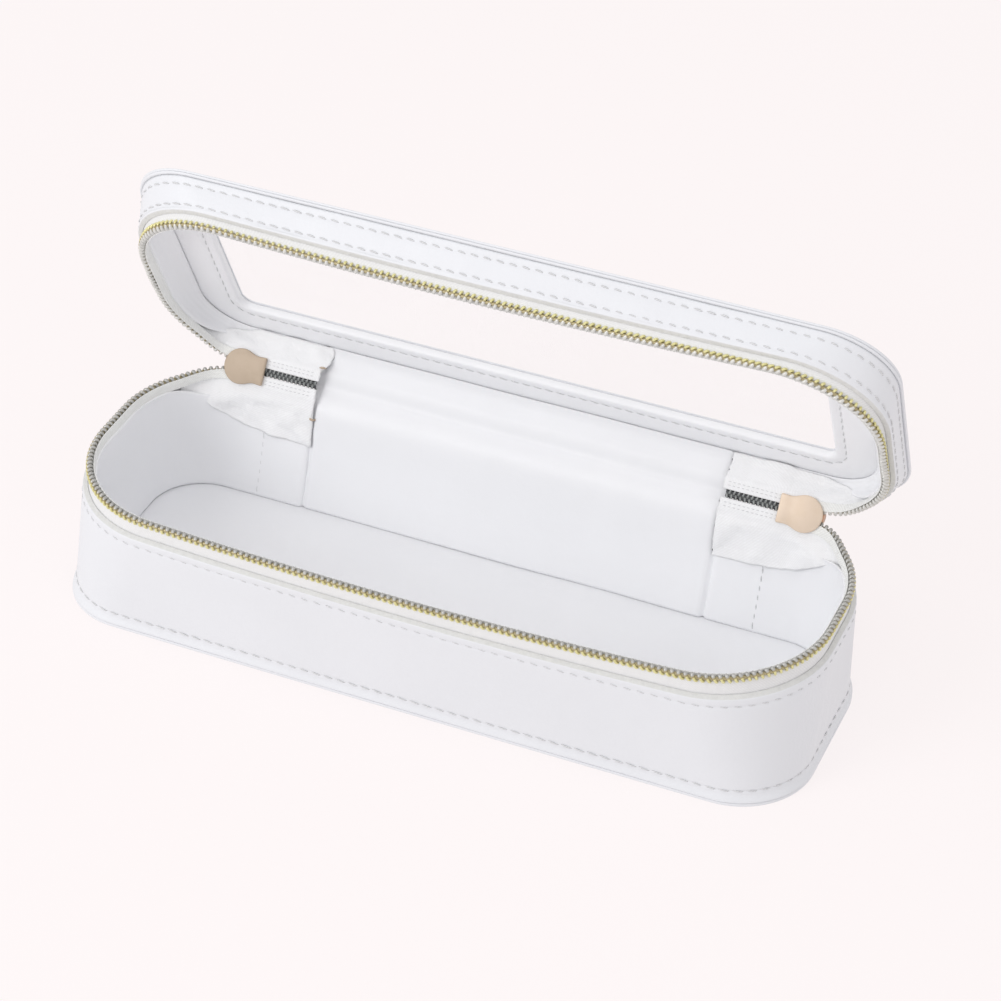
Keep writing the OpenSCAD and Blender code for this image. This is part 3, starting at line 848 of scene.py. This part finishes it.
def make_lid_skin():
    """Leather round the lid's band, turned in over its lower edge."""
    st = whole_outline()
    edge = lid_edge(st, LID_EDGE, LID_EDGE_BACK)
    seam = lid_edge(st, LID_RIM_SEAM, LID_RIM_SEAM_BACK)
    levels = [edge + 0.75, *(seam + t for t in (-0.55, -0.3, -0.1, 0.1, 0.3, 0.6))]
    levels += [lerp(seam + 0.6, 9.6, t) for t in (0.33, 0.66, 1.0)]
    levels += [9.9, 10.1, 10.3, 10.5, 10.7, 11.1, 11.7, 12.15]
    start = rounded([(0.6, 0.75), (0.1, 0.5), (0.16, -0.1), (SKIN_OUT, 0.15), (SKIN_OUT, 0.7)],
                    [0, 0.2, 0.15, 0.3, 0], 4)
    rings = [lid_at(st, out, edge + h) for out, h in start]
    for h in levels:
        drawn = groove(h - seam, 0.0) + groove(h, LID_TOP_SEAM)
        plain = lid_at(st, SKIN_OUT, h)
        rings.append(lid_at(st, SKIN_OUT - drawn + 0.1 * ripple(plain, 30.0, 5), h))
    rings += [lid_at(st, SKIN_IN, h) for h in (12.15, 8.0)]
    mark = np.zeros((len(rings), 1), int)
    # Faces of the turned lower edge take the darker edge colour, partly painted shade beside the coil
    mark[:len(start), 0] = start[:, 0] < EDGE_OUT
    skin = lofted("lid_skin", rings, LEATHER, SHADED_EDGE, along=True, mark=mark)
    tie(skin, "outer_leather", "lid_band_leather", body="lid")


def make_lid_flange():
    """Two leather edges sewn together round the lid's top."""
    st = whole_outline()
    shell = Shell()
    for reach, inner, low, high in ((2.1, 0.9, 12.2, 12.74), (2.02, 0.7, 12.8, 13.38)):
        half = rounded([(inner, low), (reach, low), (reach, high), (inner, high)], 0.22, 3)
        shell.loft([lid_at(st, out, h) for out, h in half], along=True)
    tie(shell.make("lid_flange", LEATHER), "outer_leather", "lid_piping", body="lid")


LID_UP = np.array([0, math.sin(LID_OPEN), math.cos(LID_OPEN)])
WINDOW = Shape(174.0, 44.6, 3.8, 0.0, RIM_SHIFT)


def window_at(st, grow, h):
    """Points round the window's opening on the open lid, with grow millimetres added all round."""
    half_x, half_y = WINDOW.length / 2 - WINDOW.radius, WINDOW.width / 2 - WINDOW.radius
    reach = max(WINDOW.radius + grow, 0.3)
    x = st.side * half_x + reach * np.cos(st.turn)
    y = WINDOW.middle + st.depth * half_y + reach * np.sin(st.turn)
    return opened(stacked(x, y, HINGE_Z + h))


def make_frame_skin():
    """Leather on the outside of the window's frame, stitched down round the opening."""
    st = whole_outline()
    profile = [(0.15, 12.92), (-0.3, 13.0), (-0.35, 13.2), (-0.1, 13.42), (0.5, 13.5), (1.4, 13.48),
               (2.1, 13.36), (WINDOW_SEAM, 13.24), (3.0, 13.36)]
    rings = [window_at(st, grow, h) for grow, h in profile]
    for t in (0.0, 0.15, 0.35, 0.6, 0.85, 1.0):
        ring = lerp(window_at(st, 3.6, 13.48), lid_at(st, 0.7, 13.35), t)
        puff = 0.25 * math.sin(math.pi * t) + 0.08 * ripple(ring, 24.0, 9) * (0 < t < 1)
        rings.append(ring + np.outer(puff, LID_UP))
    rings.append(lid_at(st, 0.7, 12.95))
    skin = lofted("lid_frame_skin", rings, LEATHER, along=True)
    tie(skin, "outer_leather", "lid_frame_leather", body="lid")


def lid_lining_face(h):
    """How far in the band's lining stands, padded and fullest where it meets the frame."""
    return np.interp(h, [0.0, 3.0, 5.0, 6.8, 8.4, 9.5, 10.2, 10.6],
                     [-1.9, -2.0, -2.3, -2.8, -3.7, -4.8, -5.9, -6.3])


def make_lid_lining():
    """Padded lining inside the lid's band, from one edge of the hinge panel to the other."""
    st = panel_to_panel()
    low = lid_edge(st, 3.45, 6.6)
    eased = edge_round(st)
    rings = [lid_at(st, LINING_OUT, h) for h in (10.3, low + 1.6)]
    rings += [lid_at(st, lerp(BESIDE_PANEL, lid_lining_face(low) + 0.5 + a, eased), low - b)
              for a, b in ROLL[::-1]]
    for t in np.linspace(0, 1, 18)[1:]:
        h = lerp(low + 0.45, 10.35, t)
        face = lid_lining_face(h)
        puff = 0.14 * ripple(lid_at(st, face, h), 24.0, 31) * smooth((10.3 - h) / 1.5)
        rings.append(lid_at(st, lerp(BESIDE_PANEL, face + puff, eased), h))
    rings += [lid_at(st, -5.9, 10.52), lid_at(st, -5.0, 10.55)]
    x = np.where(st.depth > 1 - 1e-6, rect_at(st, LID_RIM, 0.0)[0], 200.0)
    lining = lofted("lid_lining", [centred(ring, x) for ring in rings], LINING)
    tie(lining, "lining", "lid_band_lining", body="lid", fill=0.35)


def make_frame_lining():
    """Lining on the inside of the window's frame: puffed, and drawn in along its seam."""
    st = whole_outline()
    profile = [(0.3, 12.88), (-0.1, 12.88), (-0.35, 12.5), (-0.4, 11.3), (-0.3, 10.85), (0.0, 10.6),
               (0.5, 10.5), (1.3, 10.52), (2.0, 10.66), (WINDOW_SEAM, 10.8), (3.1, 10.66)]
    rings = [window_at(st, grow, h) for grow, h in profile]
    for t in (0.0, 0.12, 0.25, 0.4, 0.55, 0.7, 0.85, 1.0):
        ring = lerp(window_at(st, 3.7, 10.5), lid_at(st, -5.2, 10.75), t)
        rings.append(ring - LID_UP * 0.3 * math.sin(math.pi * t))
    rings += [lid_at(st, -2.0, 11.0), lid_at(st, -2.0, 11.2)]
    rings += [window_at(st, 3.0, 11.25), window_at(st, 0.3, 11.25)]
    lining = lofted("frame_lining", rings, LINING, along=True)
    tie(lining, "lining", "lid_frame_lining", body="lid")


def make_lid_stitches():
    st = whole_outline(arc=30, side=8, front=60, back=30)
    seam = lid_edge(st, LID_RIM_SEAM, LID_RIM_SEAM_BACK)
    sunk = SKIN_OUT - 0.2
    make_stitches("lid_rim_stitches", lambda out, up: lid_at(st, sunk + out, seam + up),
                  "lid", "lid_rim_thread")
    make_stitches("lid_top_stitches", lambda out, up: lid_at(st, sunk + out, LID_TOP_SEAM + up),
                  "lid", "lid_top_thread")
    make_stitches("window_stitches", lambda out, up: window_at(st, WINDOW_SEAM + up, 13.26 + out),
                  "lid", "window_thread", pitch=3.3)
    make_stitches("frame_lining_stitches", lambda out, up: window_at(st, WINDOW_SEAM + up, 10.78 - out),
                  "lid", pitch=3.3, thick=0.16)


# ---- Soft hinge ----

FOLD = 6.0  # reach of the hinge's bend, either side of its line

# The hinge line in the back's plane, and the way up each wall from it, for one millimetre of level
HINGE = np.array([HINGE_Y, HINGE_Z])
BASE_WAY = (HINGE - [FOOT.width / 2, 0.0]) / HINGE_Z
LID_BACK = HINGE_Y + (LID_TOP.width - LID_RIM.width) / 2
LID_WAY = (opened(np.array([0.0, LID_BACK, HINGE_Z + LID_H]))[1:] - HINGE) / LID_H


def hinge_at(x, level, out):
    """Points out from the back's middle line, bent round the hinge line. level is below 0 on the
    base and above 0 on the lid."""
    if abs(level) >= FOLD:
        point = HINGE + level * (BASE_WAY if level < 0 else LID_WAY)
    else:
        p, q = HINGE - FOLD * BASE_WAY, HINGE + FOLD * LID_WAY
        a, b = unit(BASE_WAY) * 2 * FOLD, unit(LID_WAY) * 2 * FOLD
        t = (level + FOLD) / (2 * FOLD)
        point = ((2 * t**3 - 3 * t**2 + 1) * p + (t**3 - 2 * t**2 + t) * a
                 + (-2 * t**3 + 3 * t**2) * q + (t**3 - t**2) * b)
    turn = LID_OPEN * smooth((level + FOLD) / (2 * FOLD))
    return stacked(x, point[0] + out * math.cos(turn), point[1] - out * math.sin(turn))


def make_hinge_panel():
    """Lining from the floor up over the hinge line and on to the lid's frame."""
    edge = HINGE_HALF + 1.6
    x = np.concatenate([
        np.linspace(-edge, -edge + 3.0, 9), np.linspace(-edge + 4.0, edge - 4.0, 50),
        np.linspace(edge - 3.0, edge, 9),
    ])
    rim = smooth((np.abs(x) - HINGE_HALF + 1.5) / 1.4)
    levels = np.concatenate([
        np.linspace(4.75, 6.5, 5) - HINGE_Z, np.linspace(8.5, 30.0, 14) - HINGE_Z,
        np.linspace(-8.0, 8.0, 24), [8.6, 9.2, 9.7, 10.1, 10.35],
    ])
    low = np.array([4.7, 5.2, 6.5, 10.0, 16.0, 24.0]) - HINGE_Z
    face = np.interp(levels, [*low, -6.0, 0.0, 6.0, 8.4, 9.6, 10.35],
                     [-4.6, -4.95, -4.8, -4.0, -3.05, -2.5, -2.25, -2.2, -2.6, -3.7, -5.0, -6.2])
    face = face + 3.2 * np.exp(-(levels / 4.2) ** 2)
    back = np.maximum(-0.55, face + 0.5)
    rings = []
    for level, out in zip(levels, face):
        puff = 0.22 * ripple(hinge_at(x, level, out), 40.0, 12)
        edge = min(out + 0.75, max(-0.75, out + 0.3))
        rings.append(hinge_at(x, level, lerp(out + puff, edge, rim)))
    rings += [hinge_at(x, level, out) for level, out in zip(levels[::-1], back[::-1])]
    panel = lofted("hinge_panel", rings, LINING)
    hinge_blend(panel)
    tie(panel, "lining", "hinge_lining_base", "hinge_lining_lid", "hinge_fold", fill=0.3)


def make_hinge_skin():
    """Outer leather of the hinge, from under one turned edge to under the other."""
    x = np.linspace(-HINGE_HALF + 0.2, HINGE_HALF - 0.2, 60)

    def face(level, out):
        crease = 1.9 + 0.2 * ripple(hinge_at(x, level, 0.5), 11.0, 44)
        return hinge_at(x, level, out + crease * math.exp(-(level / 3.5) ** 2))

    levels = np.linspace(-7.4, 6.6, 26)
    rings = [face(level, 0.45) for level in levels] + [face(level, -0.1) for level in levels[::-1]]
    skin = lofted("hinge_skin", rings, LEATHER)
    hinge_blend(skin)
    tie(skin, "outer_leather", "hinge_leather_base", "hinge_leather_lid")


# ---- Raw tape, closed coil, sliders ----

def side_strip(side, turn):
    """Stations from the hinge panel's edge on one side to turn degrees on the corner."""
    keys, steps = [(SEAM_SIDE * (1 - 0.7 / HINGE_HALF), 1, 90), (1, 1, 90), (1, 1, turn)], [20, 24]
    return trace(keys, steps) if side > 0 else trace(mirrored(keys), steps[::-1])


KNOT_LEVEL = {-1: 8.4, 1: 5.2}  # tan knots on the left tape's raw edge, from the zip line
TAPE_LIES = ((1.2, 5.2, 7.4), (-1.0, -1.18, -2.5))  # the tape end's levels, and how far out it lies


def make_tape_end(side, row):
    """Raw end of the tape, lying over the lining beside a slider and tucked in at the corner."""
    st = side_strip(side, 40.0)
    x = np.abs(rect_at(st, BASE_RIM, 0.0)[0])
    deep = np.interp(x, [60, 66, 74, 82, 88, 93, 97], [16.8, 16.4, 15.6, 13.6, 10.8, 7.6, 5.5])
    if row > 0:
        deep = np.interp(x, [60, 74, 86, 97], [10.2, 10.0, 8.8, 5.5])
    tucked = smooth((x - 88.0) / 9.0)
    rings = []
    shares = np.linspace(0, 1, 26)
    for thick, t in [(0.0, t) for t in shares] + [(TAPE_THICK, t) for t in shares[::-1]]:
        level = lerp(1.15, deep, t)
        over = lining_face(HINGE_Z - level) if row < 0 else lid_lining_face(level)
        lying = lerp(np.interp(level, *TAPE_LIES), np.minimum(over - 0.5, -2.5),
                     smooth((level - 5.5) / 3.0))
        out = lerp(lying, np.interp(level, [1.2, 3.0, 4.2], [-1.2, -1.12, -0.8]), tucked)
        plain = zip_at(st, out, level, row)
        pucker = 0.7 * ripple(plain, 8.0, 60 + side) + 0.25 * ripple(plain, 4.2, 70 + side)
        pucker = pucker * smooth((level - 5.0) / 4.0) * (1 - tucked)
        ring = zip_at(st, out + thick + np.minimum(pucker, 0.2), level, row)
        frayed = 0.3 * np.sin(level[0] * 7.0) * np.sin(level[0] * 2.9 + side) + 0.2
        ring[:, 0] += side * frayed * (1 - smooth((x - 59.3) / 0.9))
        if row > 0:
            ring = lerp(ring, centred(ring, x), settled(level[0]))
        rings.append(ring)
    shell = Shell()
    shell.loft(rings)
    for level in (2.3, 3.3):
        out = np.interp(level, *TAPE_LIES)
        sewing = Track(lambda lift, up: zip_at(st, out - lift, level + up, row))
        reach = np.interp([61.0, 80.0], x[::side], sewing.s[::side])
        for here, run, lift, up in zip(*sewing.at(np.arange(min(reach), max(reach), 1.3))):
            add_stitch(shell, here, run, lift, up, 0.55, 0.0, 0.09, 0.05, marks=(1, 2))
    if side < 0:
        out = -2.9 if row < 0 else -2.3
        knot = Track(lambda lift, up: zip_at(st, out - lift, KNOT_LEVEL[row] + up, row))
        here, run, lift, up = (v[0] for v in knot.at([knot.total - 0.3]))
        add_stitch(shell, here, run, lift, up, 1.2, 0.1, 0.34, 0.0, marks=(3, 3))
    name = f"tape_end_{SIDE_NAMES[side]}_{'base' if row < 0 else 'lid'}"
    end = shell.make(name, TAPE, THREAD_SHADED, HOLE_SHADOW, TAN)
    if row < 0:
        far, near = chain_at(0.0, 0.0, np.array([-7.6, -3.4])) / 1000
        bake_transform(end)
    else:
        hinge_blend(end)
    tie(end, "zip_tape")


def make_closed_coil(side):
    """Two rows hooked into each other, from the hinge panel into the slider. The loops are a darker copy
    of the coil's bare metal as painted shade, and their cords are near black as painted shadow in the
    gaps.
    """
    x = np.linspace(HINGE_HALF + 0.4, CHAIN_END, 60)[::side] * side
    shell = Shell()
    for row in (-1, 1):
        track = Track(lambda out, up: chain_at(x, out, row * (0.92 - up)))
        path, run, radius, _ = coil_loops(track, 1.25, 0.72, 0.76, 0.27, 0.0 if row < 0 else math.pi)
        shell.tube(path, run, radius)
        here, _, out, up = track.at(np.linspace(0.0, track.total, 40))
        shell.tube(here + 0.42 * up, out, CORE_RADIUS, mark=1)
    name = SIDE_NAMES[side]
    coil = shell.make(f"closed_coil_{name}", CHAIN_SHADED, CORE_SHADOW)
    tuple(chain_at(side * (CHAIN_END - 1.8), 0.0, 0.0) / 1000)
    tuple(chain_at(side * CHAIN_END, 0.0, 0.0) / 1000)
    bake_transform(coil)
    tie(coil, "zip_coil", f"chain_{name}")


METALS = {-1: (TAN, "tan_metal"), 1: (ROSE, "rose_metal")}


def plate_outline(inset):
    """Round head, a slight waist and a straight-cut tail, in the plate's own plane."""
    head, tail, waist = 5.0 - inset, 6.1 - inset, 4.0 - inset
    turns = np.radians(np.linspace(112, -112, 41))
    points = [(1.1 + head * math.cos(a), head * math.sin(a)) for a in turns]
    low = rounded([points[-1], (-3.0, 0.25 - waist), (-tail, -waist), (-tail, 0.0)], [0, 2.2, 0.5, 0], 6)
    high = [(u, -m) for u, m in low[::-1]]
    return np.array([*points, *low[1:], *high[1:-1]])


def block(shell, place, u, n, m, ease=0.18, mark=0):
    """A box with eased edges between two corners given as ranges."""
    rings = []
    for level, inset in ((n[0], ease), (n[0] + ease, 0.0), (n[1] - ease, 0.0), (n[1], ease)):
        a, b, c, d = u[0] + inset, u[1] - inset, m[0] + inset, m[1] - inset
        flat = rounded([((a + b) / 2, c), (b, c), (b, d), (a, d), (a, c), ((a + b) / 2, c)],
                       ease, 3)[:-1]
        rings.append(place(flat[:, 0], level, flat[:, 1]))
    shell.loft(rings, along=True, round_=False, mark=mark)


def make_slider(side):
    """Two plates joined by a nose, with lips at the outer plate's sides and a bridge for the pull."""
    name = SIDE_NAMES[side]

    def place(u, n, m):
        return chain_at(side * (SLIDER_X + np.asarray(u)), n, np.asarray(m))

    shell = Shell()
    for face in (-1, 1):
        rings = []
        for n, inset in ((1.3, 0.12), (1.42, 0), (2.05, 0), (2.22, 0.1), (2.3, 0.32)):
            u, m = plate_outline(inset).T
            rings.append(place(u, face * n, m))
        shell.loft(rings, along=True, round_=False)
    block(shell, place, (4.75, 6.1), (-2.1, 2.1), (-1.0, 1.0), 0.3, mark=1)
    for lip in (-1, 1):
        block(shell, place, (-5.6, 1.2), (0.3, 1.5), sorted((lip * 3.15, lip * 3.75)), 0.15)
    turns = np.linspace(0, math.pi, 17)
    half, rise = 3.9, 2.45
    path = place(-half * np.cos(turns), 1.9 + rise * np.abs(np.sin(turns)) ** 0.55, 0 * turns)
    across = np.broadcast_to(chain_at(0.0, 0.0, 1.0) - chain_at(0.0, 0.0, 0.0), path.shape)
    shell.tube(path, across, 0.58, sides=10)
    metal, slot = METALS[side]
    tie(shell.make(f"slider_{name}_body", metal, COPPER), slot, f"{name}_slider", body=f"{name}_slider")


def make_pull(side):
    """Ring through the slider's bridge, and a flat tab that hangs from it."""
    name = SIDE_NAMES[side]
    pivot = np.array([1000 * v for v in joints[f"{name}_pull_swing"]["pos_m"]])
    shell = Shell()
    turns = np.linspace(0, 2 * math.pi, 41)[:-1]
    ring, wire = 1.75, 0.45
    rings = []
    for a in np.arange(10) * 2 * math.pi / 10:
        r = ring + wire * math.cos(a)
        rings.append(pivot + stacked(wire * math.sin(a), r * np.cos(turns), r * np.sin(turns)))
    shell.loft(rings, along=True)
    turn = np.linspace(0, math.pi, 19)
    top = [(1.15 * math.cos(a), -1.9 + 0.5 * math.sin(a)) for a in turn]
    shoulder = [(-1.15, -3.4), (-2.15, -5.6)]
    foot = [(2.2 * math.cos(a), 2.2 - PULL_LENGTH - 2.2 * math.sin(a)) for a in turn[::-1]]
    outline = np.array([*top, *shoulder, *foot, *[(-x, z) for x, z in shoulder[::-1]]])
    middle, reach = np.array([0.0, -9.5]), np.array([2.2, 7.6])
    rings = []
    for depth, inset in ((-0.6, 0.3), (-0.5, 0.08), (-0.35, 0.0), (0.35, 0.0), (0.5, 0.08), (0.6, 0.3)):
        x, z = (middle + (outline - middle) * (1 - inset / reach)).T
        rings.append(pivot + stacked(x, depth, z))
    shell.loft(rings, along=True, round_=False)
    metal, slot = METALS[side]
    tie(shell.make(f"pull_{name}_tab", metal), slot, f"{name}_pull", body=f"{name}_pull")


# ---- Everything ----

def make_object():
    for node in ("bottom_board", "base_wall_board", "lid_band_board", "lid_frame_board"):
        finish_node(node, BOARD)
    finish_node("bottom_pad", FOAM)
    finish_node("window", CLEAR)
    make_base_skin()
    make_sole()
    make_floor()
    make_wall_lining()
    make_base_stitches()
    make_lid_skin()
    make_lid_flange()
    make_frame_skin()
    make_lid_lining()
    make_frame_lining()
    make_lid_stitches()
    make_hinge_panel()
    make_hinge_skin()
    for name, row in (("base", -1), ("lid", 1)):
        make_tape(name, row)
        make_cord(name, row)
        make_coil(name, row)
    for side in (-1, 1):
        for row in (-1, 1):
            make_tape_end(side, row)
        make_lining_seam(side)
        make_closed_coil(side)
        make_slider(side)
        make_pull(side)


# ---- Stage ----

def make_camera():
    """Stands where the case is seen from its front, a little to the right and above."""
    azimuth, elevation, roll = (math.radians(v) for v in (22.517, 36.667, 1.165))
    distance, target = 0.84328, (0.01233, 0.0, 0.04898)
    data = bpy.data.cameras.new("camera")
    data.sensor_width = 36.0
    data.lens = 117.07
    data.clip_start, data.clip_end = 0.01, 20.0
    camera = added("camera", data)
    camera.matrix_world = (
        Matrix.Translation(target) @ Matrix.Rotation(azimuth, 4, "Z")
        @ Matrix.Rotation(math.pi / 2 - elevation, 4, "X") @ Matrix.Rotation(roll, 4, "Z")
        @ Matrix.Translation((0, 0, distance))
    )
    bpy.context.scene.camera = camera


def make_light(name, place, aim, size, power):
    data = bpy.data.lights.new(name, "AREA")
    data.shape = "DISK"
    data.size, data.energy = size, power
    light = added(name, data)
    light.location = place
    away = Vector(place) - Vector(aim)
    light.rotation_mode = "QUATERNION"
    light.rotation_quaternion = away.to_track_quat("Z", "Y")


def make_stage():
    """A plain pale floor that carries on into a pale surround, and soft light from above."""
    mesh = bpy.data.meshes.new("studio_floor")
    reach = 4.0
    mesh.from_pydata([(-reach, -reach, 0), (reach, -reach, 0), (reach, reach, 0), (-reach, reach, 0)],
                     [], [(0, 1, 2, 3)])
    floor = added("studio_floor", mesh)
    finish = Finish("studio_floor", (0.2, 0.19, 0.19), 0.9, specular=0.1)
    finish.shader.inputs["Emission Color"].default_value = (0.974, 0.922, 0.922, 1)
    finish.shader.inputs["Emission Strength"].default_value = 0.8
    mesh.materials.append(finish.material)
    floor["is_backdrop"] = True
    world = bpy.data.worlds.new("studio")
    world.use_nodes = True
    background = world.node_tree.nodes["Background"]
    background.inputs["Color"].default_value = (0.974, 0.945, 0.95, 1)
    background.inputs["Strength"].default_value = 0.76
    bpy.context.scene.world = world
    make_light("key", (-0.75, -0.95, 0.7), (0, 0, 0.05), 0.8, 6.4)
    make_light("top", (0.1, -0.2, 1.2), (0, 0, 0.03), 0.9, 2.0)
    make_light("fill", (1.1, -0.6, 0.5), (0, 0, 0.05), 0.8, 0.8)
    bpy.context.scene.view_settings.view_transform = "Standard"


make_camera()
make_object()
make_stage()

boxes = {"cad": cad_box, "visual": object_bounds()}
{name: [list(corner) for corner in box] for name, box in boxes.items()}
